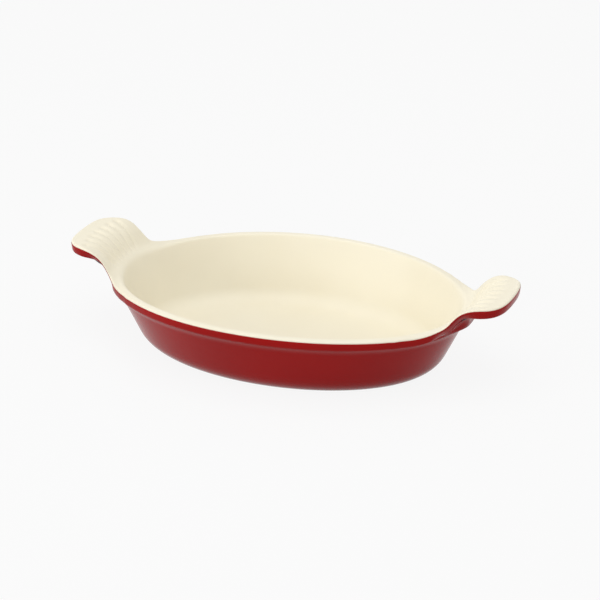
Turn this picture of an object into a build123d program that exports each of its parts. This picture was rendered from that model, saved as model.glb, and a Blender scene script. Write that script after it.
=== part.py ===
"""Oval gratin dish of enamelled cast iron, with a fluted ear at each end.

The origin is the middle of the base, X runs through both handles and Z is up.
The dish is one casting under fired coats of glass: a thin ground coat all over
the iron, then a red cover coat outside and a cream one inside and on top.
Each layer is the same dish drawn in by the coats that lie over it.
"""

import os
from math import asin, atan2, cos, degrees, radians, sin, sqrt, tan

from build123d import *

os.makedirs("parts", exist_ok=True)

# Bowl
rim_length = 291.0
rim_width = 205.6
rim_height = 56.0
rim_dip = 3.2
base_length = 239.2
base_width = 160.6
base_corner = 23.5
floor_thickness = 4.8
wall_thickness = 4.7
cavity_corner = 16.0

# Rim and the band round it
rim_land = 6.5
rim_outer_round = 2.0
rim_inner_round = 2.4
band_height = 7.1
band_step = 2.4
band_lower_round = 1.8
band_inner_round = 1.2

# Handles, which turn up and out from the ends of the rim
handle_reach = 35.5
handle_foot_inset = 2.6
handle_foot_width = 69.0
handle_tip_width = 74.4
handle_thickness = 7.8
handle_bend = 29.2
handle_foot_slope = 15.0
handle_tip_slope = 86.0
handle_foot_round = 6.0
handle_shoulder_round = 4.0
tip_bow = 5.5
tip_corner = 17.5
neck_round = 20.0

# Thickening of the wall where it carries the handles
root_drop = 9.5
root_sink = 1.0
root_flare = 3.0
root_narrowing = 16.0
root_overlap = 1.2

# Flutes on top of the handles, and the groove that joins their outer ends
flute_count = 7
flute_pitch = 6.0
flute_fan_setback = 65.5
flute_radius = 3.0
flute_depth = 1.2
flute_border = 10.0
flute_start_slope = 28.0

# Fired coats
ground_coat = 0.15
cover_coat = 0.35
colour_line_drop = 1.8

# How far the wall runs up into the band
wall_overlap = 1.5

# Room that cutting bodies run past the dish
overrun = 10.0

# A face counts as upright while its normal rises by less than this share
upright_share = 0.001

# Where the wall ends and the band begins
band_foot = rim_height - band_height
wall_top_length = rim_length - 2 * band_step
wall_top_width = rim_width - 2 * band_step

# Fall of the rim from the middles of its sides to its ends
rim_fall = atan2(rim_dip, (rim_length - rim_width) / 2)


def rim_level(reach, depth):
    """Height of the rim, or of what lies a depth below it, at a reach from the upright axis."""
    return rim_height - depth / cos(rim_fall) - (reach - rim_width / 2) * tan(rim_fall)


# Farthest reach of a handle, and the middle of its bend in a section through both
tip_reach = rim_length / 2 + handle_reach
handle_foot = rim_length / 2 - handle_foot_inset
bend_x = handle_foot + handle_bend * cos(radians(handle_foot_slope))
bend_z = rim_level(handle_foot, 0) - handle_bend * sin(radians(handle_foot_slope))


def bend_point(radius, slope):
    """The point on an arc about the bend where it leans out by slope degrees."""
    return (bend_x - radius * cos(radians(slope)), bend_z + radius * sin(radians(slope)))


def lip_point(start, reach):
    """The point at a reach from the upright axis on the straight lip past the bend."""
    return (reach, start[1] + (reach - start[0]) / tan(radians(handle_tip_slope)))


def bend_line(radius, foot, depth, reach):
    """Start, middle and end of an arc about the bend, and its lip's end.

    The arc starts a depth below the rim's level at the reach of its foot.
    """
    start_slope = degrees(asin((rim_level(foot, depth) - bend_z) / radius))
    end = bend_point(radius, handle_tip_slope)
    middle = bend_point(radius, (start_slope + handle_tip_slope) / 2)
    return bend_point(radius, start_slope), middle, end, lip_point(end, reach)


def leaning_half(lower, upper, rise, height, inset):
    """Half a breadth at a height on a leaning wall, drawn in square to it by inset."""
    lean = atan2(upper - lower, rise)
    return lower + tan(lean) * height - inset / cos(lean)


def outside_halves(height, inset):
    """Half length and half width of the wall's outside at a height."""
    return (
        leaning_half(base_length / 2, wall_top_length / 2, band_foot, height, inset),
        leaning_half(base_width / 2, wall_top_width / 2, band_foot, height, inset),
    )


def inside_halves(height, inset):
    """Half length and half width of the cavity at a height, drawn out by inset."""
    rise = rim_height - floor_thickness
    halves = []
    for floor_half, breadth in zip(outside_halves(floor_thickness, 0), (rim_length, rim_width)):
        lower = floor_half - wall_thickness
        upper = breadth / 2 - rim_land
        halves.append(leaning_half(lower, upper, rise, height - floor_thickness, -inset))
    return halves


def axis_point(start):
    """Where a line along the rim's fall through a start meets the upright axis."""
    return (0, start[1] + start[0] * tan(rim_fall))


def turned_slab(inset):
    """Rim band and both handles as one turned disc, before its outline is cut."""
    inner = handle_bend - handle_thickness + inset
    upper = bend_line(handle_bend - inset, handle_foot, inset, tip_reach + overrun)
    lower = bend_line(inner, bend_x - inner, band_height - inset, tip_reach + overrun)
    with BuildPart() as disc:
        with BuildSketch(Plane.XZ) as section:
            with BuildLine():
                Polyline(lower[0], axis_point(lower[0]), axis_point(upper[0]), upper[0])
                ThreePointArc(*upper[:3])
                Polyline(upper[2], upper[3], lower[3], lower[2])
                ThreePointArc(*lower[:3])
            make_face()
            foot = section.vertices().sort_by_distance(upper[0])[0]
            fillet(foot, handle_foot_round + inset)
            shoulder = section.vertices().sort_by_distance(lower[0])[0]
            fillet(shoulder, handle_shoulder_round - inset)
        revolve(axis=Axis.Z)
    return disc.part


def outline_block(inset):
    """Outline of rim and handles from above, as an upright block."""
    reach = tip_reach - inset
    corner_x = reach - tip_bow
    tip_y = handle_tip_width / 2 - inset
    foot_y = handle_foot_width / 2 - inset
    start_x = rim_length / 4
    with BuildPart() as block:
        with BuildSketch():
            Ellipse(rim_length / 2 - inset, rim_width / 2 - inset)
            with BuildLine():
                Polyline((corner_x, -tip_y), (start_x, -foot_y), (start_x, foot_y), (corner_x, tip_y))
                ThreePointArc((corner_x, tip_y), (reach, 0), (corner_x, -tip_y))
            make_face()
            mirror(about=Plane.YZ)
        extrude(amount=2 * rim_height)
        tips = block.edges().filter_by(Axis.Z).sort_by(lambda edge: abs(edge.center().X))[-4:]
        fillet(tips, tip_corner - inset)
        necks = block.edges().filter_by(Axis.Z).sort_by(lambda edge: abs(edge.center().X))[:4]
        fillet(necks, neck_round + inset)
    return block.part


def side_edges(part, upper):
    """The upper or lower edges of the part's upright sides."""
    chosen = ShapeList()
    for side in part.faces().filter_by(lambda face: abs(face.normal_at().Z) < upright_share):
        for edge in side.edges():
            level = abs(edge.tangent_at().Z) < 1 - upright_share
            if level and (edge.center().Z > side.center().Z) == upper:
                chosen.append(edge)
    return chosen


def flange(inset):
    """Rim band and handles, cut to their outline and rounded along their edges."""
    disc = turned_slab(inset)
    block = outline_block(inset)
    with BuildPart() as ring:
        add(disc)
        add(block, mode=Mode.INTERSECT)
        fillet(side_edges(ring, True), rim_outer_round - inset)
        fillet(side_edges(ring, False), band_lower_round - inset)
    return ring.part


def handle_roots(inset):
    """Flare of the wall below the handles, an oval cone that fades into the sides."""
    low = band_foot - root_drop
    high = rim_level(rim_length / 2, band_height) + root_overlap
    low_halves = outside_halves(low, 0)
    top_halves = outside_halves(high, 0)
    with BuildPart() as cone:
        for height in (low, high + inset):
            with BuildSketch(Plane.XY.offset(height)):
                Ellipse(
                    leaning_half(
                        low_halves[0] - root_sink,
                        top_halves[0] + root_flare,
                        high - low,
                        height - low,
                        inset,
                    ),
                    leaning_half(
                        low_halves[1] - root_narrowing,
                        top_halves[1] - root_narrowing,
                        high - low,
                        height - low,
                        inset,
                    ),
                )
        loft(ruled=True)
    return cone.part


def cavity(inset):
    """The space that the food fills, run on above the rim."""
    with BuildPart() as space:
        for height in (floor_thickness - inset, rim_height + overrun):
            with BuildSketch(Plane.XY.offset(height)):
                Ellipse(*inside_halves(height, inset))
        loft(ruled=True)
        fillet(space.faces().sort_by(Axis.Z)[0].edges(), cavity_corner + inset)
    return space.part


def on_handle(clearance, distance, angle):
    """A point over the right handle, by its distance and angle from the flute fan's middle."""
    fan_x = rim_length / 2 - flute_fan_setback
    x = fan_x + distance * cos(radians(angle))
    y = distance * sin(radians(angle))
    radius = handle_bend + clearance
    end = bend_point(radius, handle_tip_slope)
    reach = sqrt(x**2 + y**2)
    if reach > end[0]:
        return (x, y, lip_point(end, reach)[1])
    return (x, y, bend_z + sqrt(radius**2 - (bend_x - reach) ** 2))


def flute_cutters(inset):
    """Round-nosed cutters for the flutes of both handles."""
    clearance = flute_radius - flute_depth
    start_reach = bend_point(handle_bend + clearance, flute_start_slope)[0]
    fan_x = rim_length / 2 - flute_fan_setback
    last = tip_reach - flute_border - fan_x
    widest = flute_pitch * (flute_count - 1) / 2
    routes = []
    for number in range(flute_count):
        angle = number * flute_pitch - widest
        across = fan_x * sin(radians(angle))
        first = sqrt(start_reach**2 - across**2) - fan_x * cos(radians(angle))
        routes.append([(first, angle), ((first + last) / 2, angle), (last, angle)])
    routes.append([(last, -widest), (last, 0), (last, widest)])
    with BuildPart() as cutters:
        for route in routes:
            with BuildLine() as path:
                ThreePointArc(*(on_handle(clearance, *place) for place in route))
            with BuildSketch(Plane(origin=path.line @ 0, z_dir=path.line % 0)):
                Circle(flute_radius + inset)
            sweep()
            with Locations(path.line @ 0, path.line @ 1):
                Sphere(flute_radius + inset)
        mirror(about=Plane.YZ)
    return cutters.part


def dish(inset):
    """The whole dish, drawn in by inset from its outer surface."""
    ring = flange(inset)
    roots = handle_roots(inset)
    space = cavity(inset)
    cutters = flute_cutters(inset)
    with BuildPart() as body:
        for height in (inset, band_foot + wall_overlap):
            with BuildSketch(Plane.XY.offset(height)):
                Ellipse(*outside_halves(height, inset))
        loft(ruled=True)
        fillet(body.faces().sort_by(Axis.Z)[0].edges(), base_corner - inset)
        add(ring)
        corner = body.edges().sort_by_distance((0, wall_top_width / 2 - inset, band_foot + inset))[0]
        fillet(corner, band_inner_round + inset)
        add(roots)
        add(space, mode=Mode.SUBTRACT)
        top = rim_height - inset
        brim = body.edges().sort_by_distance((0, inside_halves(top, inset)[1], top))[0]
        fillet(brim, rim_inner_round - inset)
        add(cutters, mode=Mode.SUBTRACT)
    return body.part


def outer_zone():
    """Everything below and outside the line where the two colours meet."""
    drop = colour_line_drop
    upper = bend_line(handle_bend - drop, handle_foot, drop, tip_reach + overrun)
    middle = cavity(wall_thickness / 2)
    with BuildPart() as zone:
        with BuildSketch(Plane.XZ) as section:
            with BuildLine():
                Polyline(upper[3], (upper[3][0], -overrun), (0, -overrun), axis_point(upper[0]), upper[0])
                ThreePointArc(*upper[:3])
                Line(upper[2], upper[3])
            make_face()
            fillet(section.vertices().sort_by_distance(upper[0])[0], handle_foot_round + drop)
        revolve(axis=Axis.Z)
        add(middle, mode=Mode.SUBTRACT)
    return zone.part


finished = dish(0)
under_cover = dish(cover_coat)
bare_iron = dish(cover_coat + ground_coat)
red_zone = outer_zone()

with BuildPart() as cast_iron_body:
    add(bare_iron)
cast_iron_body.part.label = "cast_iron_body"
export_step(cast_iron_body.part, "parts/cast_iron_body.step")

with BuildPart() as ground_enamel:
    add(under_cover)
    add(bare_iron, mode=Mode.SUBTRACT)
ground_enamel.part.label = "ground_enamel"
export_step(ground_enamel.part, "parts/ground_enamel.step")

with BuildPart() as exterior_enamel:
    add(finished)
    add(under_cover, mode=Mode.SUBTRACT)
    add(red_zone, mode=Mode.INTERSECT)
exterior_enamel.part.label = "exterior_enamel"
export_step(exterior_enamel.part, "parts/exterior_enamel.step")

with BuildPart() as interior_enamel:
    add(finished)
    add(under_cover, mode=Mode.SUBTRACT)
    add(red_zone, mode=Mode.SUBTRACT)
interior_enamel.part.label = "interior_enamel"
export_step(interior_enamel.part, "parts/interior_enamel.step")
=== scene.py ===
import math

import bmesh
import bpy
import numpy as np
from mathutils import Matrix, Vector


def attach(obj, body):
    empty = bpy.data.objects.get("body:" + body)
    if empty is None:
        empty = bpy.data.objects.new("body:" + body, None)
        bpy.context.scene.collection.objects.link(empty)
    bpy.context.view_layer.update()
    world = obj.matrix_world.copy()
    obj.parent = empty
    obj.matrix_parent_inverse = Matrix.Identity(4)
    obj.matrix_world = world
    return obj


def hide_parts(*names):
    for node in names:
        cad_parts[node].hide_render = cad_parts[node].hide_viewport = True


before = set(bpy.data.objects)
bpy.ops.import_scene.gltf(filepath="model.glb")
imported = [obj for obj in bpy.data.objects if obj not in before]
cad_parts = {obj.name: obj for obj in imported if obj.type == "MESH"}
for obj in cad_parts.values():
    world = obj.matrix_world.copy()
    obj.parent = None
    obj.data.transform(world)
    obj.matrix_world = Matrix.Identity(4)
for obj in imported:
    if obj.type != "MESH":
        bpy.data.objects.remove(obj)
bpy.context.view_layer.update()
print("frame loaded")

# Lengths in the shape tables are millimetres, as in the part's source. What is called foot, top
# or halves is the half length along the dish and the half width across it.
inside = {
    "floor": 4.8,
    "foot": (117.2, 77.6),
    "top": (139.0, 96.3),
    "topHeight": 56.0,
    "corner": 16.0,
    "brimGuess": 54.0,  # a first height for the brim, before it settles on the top surface
    "brimRound": 2.2,
    "handleRoundMore": 1.6,
    "handleFrom": (118, 142),  # the brim's round grows between these distances along the dish
    "floorShares": (0, 0.25, 0.5, 0.75, 0.9),
    "cornerRings": 10,
    "wallRings": 8,
    "brimRings": 4,
}

outside = {
    "foot": (119.6, 80.3),
    "top": (143.1, 100.4),
    "topHeight": 48.9,
    "corner": 23.5,
    "cornerRings": 11,
    "wallRings": 8,
    "baseShares": (0.9, 0.6, 0.3, 0),
}

# A quarter of the top edge from above, past the oval part of the rim
edge = {
    "halves": (145.5, 102.8),
    "points": ((107.0, 69.9), (112.0, 65.8), (116.0, 62.5), (120.0, 59.2), (123.2, 56.2), (126.5, 53.0),
               (129.7, 49.5), (132.4, 46.3), (134.7, 43.3), (136.8, 40.8), (138.6, 39.0), (140.3, 37.8),
               (142.5, 36.9), (145.5, 36.2), (149.0, 36.1), (153.0, 36.5), (157.0, 36.6), (161.0, 36.2),
               (164.5, 35.4), (167.5, 34.3), (170.3, 33.0), (172.7, 31.4), (174.9, 29.3), (176.9, 26.6),
               (178.5, 23.0), (179.7, 18.6), (180.5, 12.5), (180.95, 5.0), (181.0, 0.0)),
    "ovalSteps": 200,
    "step": 4.0,
    "fineStep": 1.1,
    "fineFromPoint": 2,  # the fine step starts at this point
    "round": 2.0,
    "roundTurns": (17, 34, 51, 68),  # degrees
    "landRings": 26,
}

# Height of the top surface by its distance from the dish's upright axis
crest = {
    "points": ((60.0, 59.2), (102.8, 56.0), (118.0, 54.85), (130.0, 53.75), (135.4, 53.5), (138.8, 54.2),
               (141.0, 55.2), (142.8, 56.3), (144.2, 57.6), (145.5, 59.2), (147.7, 62.3), (150.7, 66.0),
               (154.2, 69.2), (158.3, 71.7), (162.7, 73.35), (167.5, 74.15), (172.4, 74.4), (177.0, 74.7),
               (181.0, 75.15), (185.0, 75.2)),
    "slopeReach": 0.2,
}

flutes = {
    "fanMiddle": 80.0,
    "fanFrom": (100, 138),  # the spokes turn towards the fan between these distances along the dish
    "count": 7,
    "pitch": 6.0,  # degrees
    "depth": 1.35,
    "halfWidth": 3.5,
    "start": (140.5, 146.5),  # they deepen between these distances from the dish's axis
    "end": (87.0, 91.5),  # and fade between these from the fan's middle
}

band = {
    "height": 7.1,
    "lowerRound": 2.6,
    "creaseHeight": 47.7,
    "creaseDip": 3.3,
    "creaseDipPower": 1.5,
    "creaseOut": 1.1,
    "creaseUp": 0.5,
    "sideShares": (0.5, 1),
    "lowerRings": 3,
}

# The side leans in below the necks, so that the handle is thinner along its edges there
handle = {
    "tipInset": 0.6,
    "tipExtra": 0.9,
    "tipRoundLess": 0.9,
    "tipFrom": (145, 160),
    "neckInset": 5.0,
    "neckFrom": (130, 141),
    "neckTo": (150, 166),
    "rootSpread": (7, 24),  # degrees of the fan, over which the root fades
    "rootHeight": 41.0,
    "shoulder": (148.2, 47.3),  # distance from the dish's axis, and height
    "lipShare": 0.66,
    "shoulderShare": 0.55,
    "leastThickness": 6.6,
    "undersideRings": 14,
    "rootShares": (0.33, 0.66, 1),
}

# Depths below the dish's skin
coats = {"coverInner": 0.35, "groundOuter": 0.40, "groundInner": 0.52, "iron": 0.53}

tiny = 1e-9  # keeps a division from meeting zero
mergeReach = 1e-6
metre = 1000


def smoothStep(values, low, high):
    share = np.clip((np.asarray(values, float) - low) / (high - low), 0, 1)
    return share * share * (3 - 2 * share)


# Cubic curve through points of rising first value
def smoothCurve(points, where):
    xs, ys = np.array(points, float).T
    slopes = np.gradient(ys, xs)
    where = np.clip(where, xs[0], xs[-1])
    spot = np.clip(np.searchsorted(xs, where, side="right") - 1, 0, len(xs) - 2)
    span = xs[spot + 1] - xs[spot]
    t = (where - xs[spot]) / span
    return ((2 * t**3 - 3 * t**2 + 1) * ys[spot] + (t**3 - 2 * t**2 + t) * span * slopes[spot]
            + (3 * t**2 - 2 * t**3) * ys[spot + 1] + (t**3 - t**2) * span * slopes[spot + 1])


def crestHeight(plan):
    return smoothCurve(crest["points"], np.hypot(plan[..., 0], plan[..., 1]))


# Points of a quarter of the edge, from the middle of a side to the handle's tip
def quarterEdge():
    halfLength, halfWidth = edge["halves"]
    points = np.array(edge["points"])
    angles = np.linspace(math.pi / 2, math.acos(points[0, 0] / halfLength), edge["ovalSteps"])[:-1]
    rough = np.vstack([np.c_[halfLength * np.cos(angles), halfWidth * np.sin(angles)], points])
    along = np.r_[0, np.cumsum(np.hypot(*np.diff(rough, axis=0).T))]
    fineFrom = along[len(angles) + edge["fineFromPoint"]]
    wide = np.linspace(0, fineFrom, int(fineFrom / edge["step"]))[:-1]
    fine = np.linspace(fineFrom, along[-1], int((along[-1] - fineFrom) / edge["fineStep"]))
    spots = np.r_[wide, fine]
    return np.c_[smoothCurve(np.c_[along, rough[:, 0]], spots), smoothCurve(np.c_[along, rough[:, 1]], spots)]


def wholeEdge():
    quarter = quarterEdge()
    back = quarter[::-1]
    return np.vstack([back, quarter[1:] * (-1, 1), back[1:] * (-1, -1), quarter[1:-1] * (1, -1)])


def edgeNormals(plan):
    tangent = np.roll(plan, -1, axis=0) - np.roll(plan, 1, axis=0)
    normal = np.c_[tangent[:, 1], -tangent[:, 0]]
    return normal / np.linalg.norm(normal, axis=1)[:, None]


# Angle on the inner oval that each edge point belongs to: its own on the rim, the fan's on a handle
def ovalAngles(plan):
    halfLength, halfWidth = edge["halves"]
    x, y = np.abs(plan[:, 0]), np.abs(plan[:, 1])
    plain = np.arctan2(y / halfWidth, x / halfLength)
    insideLength, insideWidth = inside["top"]
    middle = flutes["fanMiddle"]
    dx = x - middle
    square = (dx / insideLength) ** 2 + (y / insideWidth) ** 2
    linear = 2 * middle * dx / insideLength**2
    constant = (middle / insideLength) ** 2 - 1
    t = (-linear + np.sqrt(np.maximum(linear**2 - 4 * square * constant, 0))) / (2 * square)
    fan = np.arctan2(t * y / insideWidth, (middle + t * dx) / insideLength)
    share = smoothStep(x, *flutes["fanFrom"])
    angle = plain * (1 - share) + fan * share
    angle = np.where(plan[:, 0] < 0, math.pi - angle, angle)
    return np.where(plan[:, 1] < 0, -angle, angle)


# Leans of a wall at its end and at its side, and the middles of the round at its foot
def wallFoot(wall, low):
    rise = wall["topHeight"] - low
    radius = wall["corner"]
    leans = [math.atan2(top - foot, rise) for foot, top in zip(wall["foot"], wall["top"])]
    insets = [radius * (1 / math.cos(lean) - math.tan(lean)) for lean in leans]
    middles = [foot - inset for foot, inset in zip(wall["foot"], insets)]
    return leans, middles


# A ring on a leaning wall, at heights z
def wallAt(wall, leans, low, z, cos, sin):
    halfLength, halfWidth = (foot + math.tan(lean) * (z - low) for foot, lean in zip(wall["foot"], leans))
    return np.c_[halfLength * cos, halfWidth * sin, z]


def levelRings(middles, shares, z, cos, sin):
    level = np.full(len(cos), z)
    return [np.c_[middles[0] * share * cos, middles[1] * share * sin, level] for share in shares]


# Rings up the rounded corner from a level floor to a leaning wall
def cornerRings(wall, leans, middles, low, cos, sin):
    radius = wall["corner"]
    rings = []
    for share in np.linspace(0, 1, wall["cornerRings"]):
        turnA, turnB = (share * (math.pi / 2 - lean) for lean in leans)
        z = low + radius * ((1 - math.cos(turnA)) * cos**2 + (1 - math.cos(turnB)) * sin**2)
        halfLength, halfWidth = middles[0] + radius * math.sin(turnA), middles[1] + radius * math.sin(turnB)
        rings.append(np.c_[halfLength * cos, halfWidth * sin, z])
    return rings


def ringsBetween(first, last, shares):
    return [first + (last - first) * share for share in shares]


# Rings round a corner, without its two ends
def bendBetween(first, corner, last, count):
    shares = np.linspace(0, 1, count + 2)[1:-1]
    return [(1 - t) ** 2 * first + 2 * t * (1 - t) * corner + t**2 * last for t in shares]


# Points that lie a length from start on the way to end, but short of the middle
def towards(start, end, length):
    mostShare = 0.45
    gap = end - start
    size = np.linalg.norm(gap, axis=1)[:, None]
    return start + gap / np.maximum(size, tiny) * np.minimum(length, size * mostShare)


def fluteDepth(plan):
    x, y = np.abs(plan[..., 0]) - flutes["fanMiddle"], plan[..., 1]
    distance = np.hypot(x, y)
    angle = np.degrees(np.arctan2(y, x))
    most = flutes["count"] // 2
    near = np.clip(np.round(angle / flutes["pitch"]), -most, most) * flutes["pitch"]
    beside = distance * np.radians(angle - near)
    halfWidth = flutes["halfWidth"]
    across = np.where(np.abs(beside) < halfWidth, 0.5 + 0.5 * np.cos(math.pi * beside / halfWidth), 0)
    reach = np.hypot(plan[..., 0], plan[..., 1])
    along = smoothStep(reach, *flutes["start"]) * (1 - smoothStep(distance, *flutes["end"]))
    return flutes["depth"] * across * along * (x > 0)


# The top surface over plan points, with the flutes pressed into it
def onCrest(plan):
    points, near = crest["points"], crest["slopeReach"]
    z = crestHeight(plan)
    reach = np.hypot(plan[..., 0], plan[..., 1])
    slope = (smoothCurve(points, reach + near) - smoothCurve(points, reach - near)) / (2 * near)
    depth = fluteDepth(plan)
    size = np.sqrt(1 + slope**2)
    shift = (slope * depth / size)[:, None] * plan / reach[:, None]
    return np.c_[plan + shift, z - depth / size]


# Keeps the underside a handle's thickness below the top surface
def belowCrest(ring):
    ring[:, 2] = np.minimum(ring[:, 2], crestHeight(ring[:, :2]) - handle["leastThickness"])
    return ring


# From the middle of the floor up the wall, over the brim and the land to the start of the edge's round
def insideRings(plan, roundIn, cos, sin):
    low = inside["floor"]
    leans, middles = wallFoot(inside, low)
    rings = levelRings(middles, inside["floorShares"], low, cos, sin)
    rings += cornerRings(inside, leans, middles, low, cos, sin)
    foot = rings[-1]
    brim = wallAt(inside, leans, low, np.full(len(cos), inside["brimGuess"]), cos, sin)
    for _ in range(3):  # the brim's height and its place on the leaning wall settle together
        brim = wallAt(inside, leans, low, crestHeight(brim[:, :2]), cos, sin)
    onHandle = smoothStep(np.abs(plan[:, 0]), *inside["handleFrom"])
    soft = (inside["brimRound"] + inside["handleRoundMore"] * onHandle)[:, None]
    wallEnd = towards(brim, foot, soft)
    rings += ringsBetween(foot, wallEnd, np.linspace(0, 1, inside["wallRings"])[1:])
    landStart = towards(brim[:, :2], roundIn, soft)
    rings += bendBetween(wallEnd, brim, onCrest(landStart), inside["brimRings"])
    shares = np.linspace(0, 1, edge["landRings"])
    return rings + [onCrest(spot) for spot in ringsBetween(landStart, roundIn, shares)]


# Down the edge's round, where the cream gives way to the red
def edgeRings(plan, normal):
    rings = []
    for turn in np.radians(edge["roundTurns"]):
        ring = onCrest(plan - normal * edge["round"] * (1 - math.sin(turn)))
        ring[:, 2] -= edge["round"] * (1 - math.cos(turn))
        rings.append(ring)
    return rings


# Down the band's side, under it and under the handles to the wall
def undersideRings(plan, normal, leans, cos, sin):
    reach = np.abs(plan[:, 0])
    sideTop = np.c_[plan, crestHeight(plan) - edge["round"]]
    neck = smoothStep(reach, *handle["neckFrom"]) * (1 - smoothStep(reach, *handle["neckTo"]))
    tip = smoothStep(reach, *handle["tipFrom"])
    inset = handle["neckInset"] * neck + handle["tipInset"] * tip * (1 - neck)
    lowHeight = crestHeight(plan) - band["height"] - handle["tipExtra"] * tip
    low = belowCrest(np.c_[plan - normal * inset[:, None], lowHeight])
    fan = np.degrees(np.arctan2(np.abs(plan[:, 1]), np.maximum(reach - flutes["fanMiddle"], tiny)))
    root = 1 - smoothStep(fan, *handle["rootSpread"])
    crease = band["creaseHeight"] - band["creaseDip"] * np.abs(cos) ** band["creaseDipPower"]
    wallTop = wallAt(outside, leans, 0, crease * (1 - root) + handle["rootHeight"] * root, cos, sin)
    top = wallAt(outside, leans, 0, crease, cos, sin)
    outward = top[:, :2] / np.hypot(top[:, 0], top[:, 1])[:, None]
    flush = np.c_[top[:, :2] + outward * band["creaseOut"], crease + band["creaseUp"]]
    shoulderReach, shoulderHeight = handle["shoulder"]
    onRoot = np.c_[outward * shoulderReach, np.full(len(cos), shoulderHeight)]
    shoulder = flush * (1 - root[:, None]) + onRoot * root[:, None]
    lowerRound = (band["lowerRound"] - handle["tipRoundLess"] * tip)[:, None]
    sideEnd = towards(low, sideTop, lowerRound)
    rings = [sideTop] + ringsBetween(sideTop, sideEnd, band["sideShares"])
    gap = shoulder - low
    first = low + gap * (1, 1, 0) * handle["lipShare"]
    second = shoulder - gap * (0, 0, 1) * handle["shoulderShare"]
    underStart = towards(low, first, lowerRound)
    rings += bendBetween(sideEnd, low, underStart, band["lowerRings"])
    for t in np.linspace(0, 1, handle["undersideRings"]):
        near = (1 - t) ** 3 * underStart + 3 * t * (1 - t) ** 2 * first
        far = 3 * t**2 * (1 - t) * second + t**3 * shoulder
        rings.append(belowCrest(near + far))
    return rings + ringsBetween(shoulder, wallTop, handle["rootShares"])


# All rings of the dish's skin, from the middle of the floor to the middle of the base,
# and the number of the ring where the cream and the red meet
def dishRings():
    plan = wholeEdge()
    normal = edgeNormals(plan)
    angle = ovalAngles(plan)
    cos, sin = np.cos(angle), np.sin(angle)
    rings = insideRings(plan, plan - normal * edge["round"], cos, sin) + edgeRings(plan, normal)
    colourRing = len(rings) - 1
    leans, middles = wallFoot(outside, 0)
    rings += undersideRings(plan, normal, leans, cos, sin)
    corner = cornerRings(outside, leans, middles, 0, cos, sin)[::-1]
    rings += ringsBetween(rings[-1], corner[0], np.linspace(0, 1, outside["wallRings"])[1:-1])
    rings += corner + levelRings(middles, outside["baseShares"], 0, cos, sin)
    return np.array(rings), colourRing


def skinNormals(rings):
    along = np.gradient(rings, axis=0)
    around = np.roll(rings, -1, axis=1) - np.roll(rings, 1, axis=1)
    normal = np.cross(along, around)
    normal = normal / np.maximum(np.linalg.norm(normal, axis=2)[..., None], tiny)
    normal[0] = (0, 0, 1)
    normal[-1] = (0, 0, -1)
    if normal[1, :, 2].mean() < 0:
        normal[1:-1] *= -1
    return normal


# One closed mesh for each stack of rings, from a grid whose ends are brought together
def skinMesh(name, layers):
    bm = bmesh.new()
    for rings, inwards in layers:
        rows, columns = len(rings), len(rings[0])
        made = bmesh.ops.create_grid(bm, x_segments=columns, y_segments=rows - 1, size=1.0)
        for vert in made["verts"]:
            column = round((vert.co.x + 1) / 2 * columns) % columns
            row = round((vert.co.y + 1) / 2 * (rows - 1))
            vert.co = Vector(rings[row][column] / metre)
        bm.normal_update()
        faces = {face for vert in made["verts"] for face in vert.link_faces}
        volume = sum(face.verts[0].co.dot(face.normal) * face.calc_area() for face in faces)
        if (volume < 0) != inwards:
            bmesh.ops.reverse_faces(bm, faces=list(faces))
    bmesh.ops.remove_doubles(bm, verts=bm.verts, dist=mergeReach)
    for face in bm.faces:
        face.smooth = True
    mesh = bpy.data.meshes.new(name)
    bm.to_mesh(mesh)
    bm.free()
    piece = bpy.data.objects.new(name, mesh)
    bpy.context.scene.collection.objects.link(piece)
    print(name, "faces", len(mesh.polygons))
    return piece


rings, colourRing = dishRings()
normals = skinNormals(rings)
cover = rings - normals * coats["coverInner"]
creamPart = slice(0, colourRing + 1)
redPart = slice(colourRing, None)
cream = skinMesh("creamEnamel", [([*rings[creamPart], *cover[creamPart][::-1]], False)])
red = skinMesh("redEnamel", [([*cover[redPart][::-1], *rings[redPart]], False)])
ground = skinMesh("groundCoat", [(rings - normals * coats["groundOuter"], False),
                                 (rings - normals * coats["groundInner"], True)])
iron = skinMesh("castIronBody", [(rings - normals * coats["iron"], False)])
print("skins made")

# Lengths and scales in the finishes are in metres
glaze = {
    "cloudScale": 9, "cloudDetail": 3, "cloudFrom": 0.35, "cloudTo": 0.65,
    "waveScale": 160, "waveDetail": 2, "fineScale": 900, "fineDetail": 1, "fineShare": 0.35,
    "peelDepth": 0.0004, "smoother": 0.04, "rougher": 0.05,
}
creamFinish = {
    "pale": (0.875, 0.822, 0.672), "deep": (0.85, 0.79, 0.63),
    "roughness": 0.42, "peel": 0.25, "specular": 0.2,
}
redFinish = {
    "pale": (0.355, 0.003, 0.0025), "deep": (0.315, 0.0025, 0.002),
    "roughness": 0.20, "peel": 0.22, "specular": 0.12,
}
groundFinish = {
    "pale": (0.02, 0.02, 0.024), "deep": (0.012, 0.012, 0.014),
    "roughness": 0.30, "peel": 0.3, "specular": 0.5,
}
ironFinish = {
    "dark": (0.05, 0.05, 0.052), "light": (0.13, 0.13, 0.135),
    "grainScale": 420, "grainDetail": 6, "bump": 0.5, "bumpDepth": 0.0003, "roughness": 0.6,
}


def newMaterial(name):
    material = bpy.data.materials.new(name)
    material.use_nodes = True
    nodes, links = material.node_tree.nodes, material.node_tree.links
    return material, nodes, links, nodes["Principled BSDF"]


def noiseOnPiece(nodes, links, place, scale, detail):
    noise = nodes.new("ShaderNodeTexNoise")
    noise.inputs["Scale"].default_value = scale
    noise.inputs["Detail"].default_value = detail
    links.new(place.outputs["Object"], noise.inputs["Vector"])
    return noise.outputs["Fac"]


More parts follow.
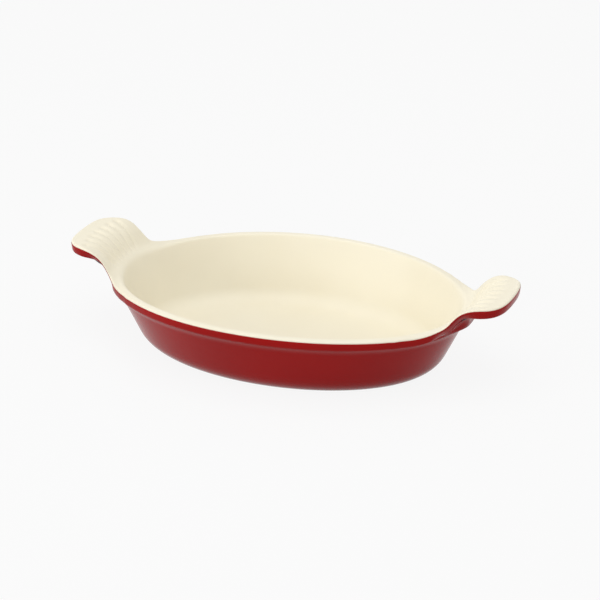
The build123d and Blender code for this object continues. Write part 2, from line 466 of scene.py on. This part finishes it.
def twoTones(nodes, links, factor, dark, light):
    ramp = nodes.new("ShaderNodeValToRGB")
    ramp.color_ramp.elements[0].color = (*dark, 1)
    ramp.color_ramp.elements[1].color = (*light, 1)
    links.new(factor, ramp.inputs["Fac"])
    return ramp


def bumpFrom(nodes, links, height, strength, depth, shader):
    bump = nodes.new("ShaderNodeBump")
    bump.inputs["Strength"].default_value = strength
    bump.inputs["Distance"].default_value = depth
    links.new(height, bump.inputs["Height"])
    links.new(bump.outputs["Normal"], shader.inputs["Normal"])


# Fired glass: two near tones in wide clouds, and a slight orange peel
def enamel(name, finish):
    material, nodes, links, shader = newMaterial(name)
    place = nodes.new("ShaderNodeTexCoord")
    clouds = noiseOnPiece(nodes, links, place, glaze["cloudScale"], glaze["cloudDetail"])
    tones = twoTones(nodes, links, clouds, finish["deep"], finish["pale"])
    tones.color_ramp.elements[0].position = glaze["cloudFrom"]
    tones.color_ramp.elements[1].position = glaze["cloudTo"]
    links.new(tones.outputs["Color"], shader.inputs["Base Color"])
    waves = noiseOnPiece(nodes, links, place, glaze["waveScale"], glaze["waveDetail"])
    fine = noiseOnPiece(nodes, links, place, glaze["fineScale"], glaze["fineDetail"])
    both = nodes.new("ShaderNodeMath")
    both.operation = "MULTIPLY_ADD"
    both.inputs[1].default_value = glaze["fineShare"]
    links.new(fine, both.inputs[0])
    links.new(waves, both.inputs[2])
    bumpFrom(nodes, links, both.outputs[0], finish["peel"], glaze["peelDepth"], shader)
    sheen = nodes.new("ShaderNodeMapRange")
    sheen.inputs["To Min"].default_value = finish["roughness"] - glaze["smoother"]
    sheen.inputs["To Max"].default_value = finish["roughness"] + glaze["rougher"]
    links.new(clouds, sheen.inputs["Value"])
    links.new(sheen.outputs["Result"], shader.inputs["Roughness"])
    shader.inputs["Specular IOR Level"].default_value = finish["specular"]
    return material


def castIron(name):
    material, nodes, links, shader = newMaterial(name)
    place = nodes.new("ShaderNodeTexCoord")
    grain = noiseOnPiece(nodes, links, place, ironFinish["grainScale"], ironFinish["grainDetail"])
    tones = twoTones(nodes, links, grain, ironFinish["dark"], ironFinish["light"])
    links.new(tones.outputs["Color"], shader.inputs["Base Color"])
    bumpFrom(nodes, links, grain, ironFinish["bump"], ironFinish["bumpDepth"], shader)
    shader.inputs["Metallic"].default_value = 1
    shader.inputs["Roughness"].default_value = ironFinish["roughness"]
    return material


pieces = ((cream, enamel("creamGlass", creamFinish), "cream_glass", "interior_enamel"),
          (red, enamel("redGlass", redFinish), "red_glass", "exterior_enamel"),
          (ground, enamel("groundGlass", groundFinish), "ground_glass", "ground_enamel"),
          (iron, castIron("castIron"), "iron", "cast_iron_body"))
for piece, material, slot, node in pieces:
    piece.data.materials.append(material)
    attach(piece, "root")
    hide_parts(node)
print("materials set")

# Metres from here on
studio = {
    "floorSize": 6,
    "floorGrey": 0.55,
    "floorRoughness": 0.9,
    "whiteShare": 0.9,  # the rest of the floor is lit, so that it keeps the dish's soft shadow
    "white": 1.0,
    "skyLight": 0.60,
    "aim": (0, 0, 0.03),
    "keyPlace": (-1.2, -1.3, 0.55), "keySize": (0.8, 0.6), "keyPower": 9.4,
    "topPlace": (0.0, -0.2, 1.5), "topSize": (1.3, 1.3), "topPower": 9.8,
    "sidePlace": (1.1, -1.2, 0.3), "sideSize": (0.3, 0.3), "sidePower": 0.7, "sideAim": (0.15, -0.02, 0.05),
}


# 1 for rays from the camera, in a mirror or through glass, and 0 for the light on the dish
def seenDirectly(nodes, links):
    path = nodes.new("ShaderNodeLightPath")
    first = nodes.new("ShaderNodeMath")
    first.operation = "MAXIMUM"
    second = nodes.new("ShaderNodeMath")
    second.operation = "MAXIMUM"
    links.new(path.outputs["Is Camera Ray"], first.inputs[0])
    links.new(path.outputs["Is Glossy Ray"], first.inputs[1])
    links.new(first.outputs[0], second.inputs[0])
    links.new(path.outputs["Is Transmission Ray"], second.inputs[1])
    return second.outputs[0]


def studioFloor():
    bpy.ops.mesh.primitive_plane_add(size=studio["floorSize"], location=(0, 0, 0))
    floor = bpy.context.object
    floor.name = "studioFloor"
    material, nodes, links, shader = newMaterial("studioPaper")
    shader.inputs["Base Color"].default_value = (*[studio["floorGrey"]] * 3, 1)
    shader.inputs["Roughness"].default_value = studio["floorRoughness"]
    white = nodes.new("ShaderNodeEmission")
    white.inputs["Color"].default_value = (1, 1, 1, 1)
    white.inputs["Strength"].default_value = studio["white"]
    part = nodes.new("ShaderNodeMath")
    part.operation = "MULTIPLY"
    part.inputs[1].default_value = studio["whiteShare"]
    seen = nodes.new("ShaderNodeMixShader")
    links.new(seenDirectly(nodes, links), part.inputs[0])
    links.new(part.outputs[0], seen.inputs["Fac"])
    links.new(shader.outputs["BSDF"], seen.inputs[1])
    links.new(white.outputs["Emission"], seen.inputs[2])
    links.new(seen.outputs["Shader"], nodes["Material Output"].inputs["Surface"])
    floor.data.materials.append(material)
    return floor


def studioSky():
    world = bpy.data.worlds.new("studioSky")
    bpy.context.scene.world = world
    world.use_nodes = True
    nodes, links = world.node_tree.nodes, world.node_tree.links
    sky = nodes["Background"]
    sky.inputs["Color"].default_value = (1, 1, 1, 1)
    strength = nodes.new("ShaderNodeMix")
    strength.data_type = "FLOAT"
    strength.inputs[2].default_value = studio["skyLight"]
    strength.inputs[3].default_value = studio["white"]
    links.new(seenDirectly(nodes, links), strength.inputs[0])
    links.new(strength.outputs[0], sky.inputs["Strength"])


def softbox(name, place, aim, size, power):
    lamp = bpy.data.lights.new(name, "AREA")
    lamp.shape = "RECTANGLE"
    lamp.size, lamp.size_y = size
    lamp.energy = power
    box = bpy.data.objects.new(name, lamp)
    box.location = place
    box.rotation_euler = (Vector(aim) - Vector(place)).to_track_quat("-Z", "Y").to_euler()
    bpy.context.scene.collection.objects.link(box)
    return box


studioSky()
studioFloor()
softbox("keyBox", studio["keyPlace"], studio["aim"], studio["keySize"], studio["keyPower"])
softbox("topBox", studio["topPlace"], studio["aim"], studio["topSize"], studio["topPower"])
softbox("sideBox", studio["sidePlace"], studio["sideAim"], studio["sideSize"], studio["sidePower"])

# The photo's view: degrees round from the front and up, then metres from the dish's middle
view = {"azimuth": 21.588, "elevation": 23.753, "distance": 1.748855, "sideways": 0.007085, "up": 0.037844,
        "lens": 132.89, "sensor": 36, "farthest": 20}


def photoCamera():
    camera = bpy.data.cameras.new("photoCamera")
    camera.sensor_width = view["sensor"]
    camera.lens = view["lens"]
    camera.clip_end = view["farthest"]
    eye = bpy.data.objects.new("photoCamera", camera)
    azimuth, elevation = math.radians(view["azimuth"]), math.radians(view["elevation"])
    level = Vector((math.sin(azimuth), -math.cos(azimuth), 0))
    backward = level * math.cos(elevation) + Vector((0, 0, math.sin(elevation)))
    sideways = Vector((math.cos(azimuth), math.sin(azimuth), 0))
    upward = backward.cross(sideways)
    eye.location = backward * view["distance"] + sideways * view["sideways"] + upward * view["up"]
    eye.rotation_euler = (-backward).to_track_quat("-Z", "Y").to_euler()
    bpy.context.scene.collection.objects.link(eye)
    bpy.context.scene.camera = eye
    return eye


photoCamera()
bpy.context.scene.view_settings.view_transform = "Standard"
print("stage set")
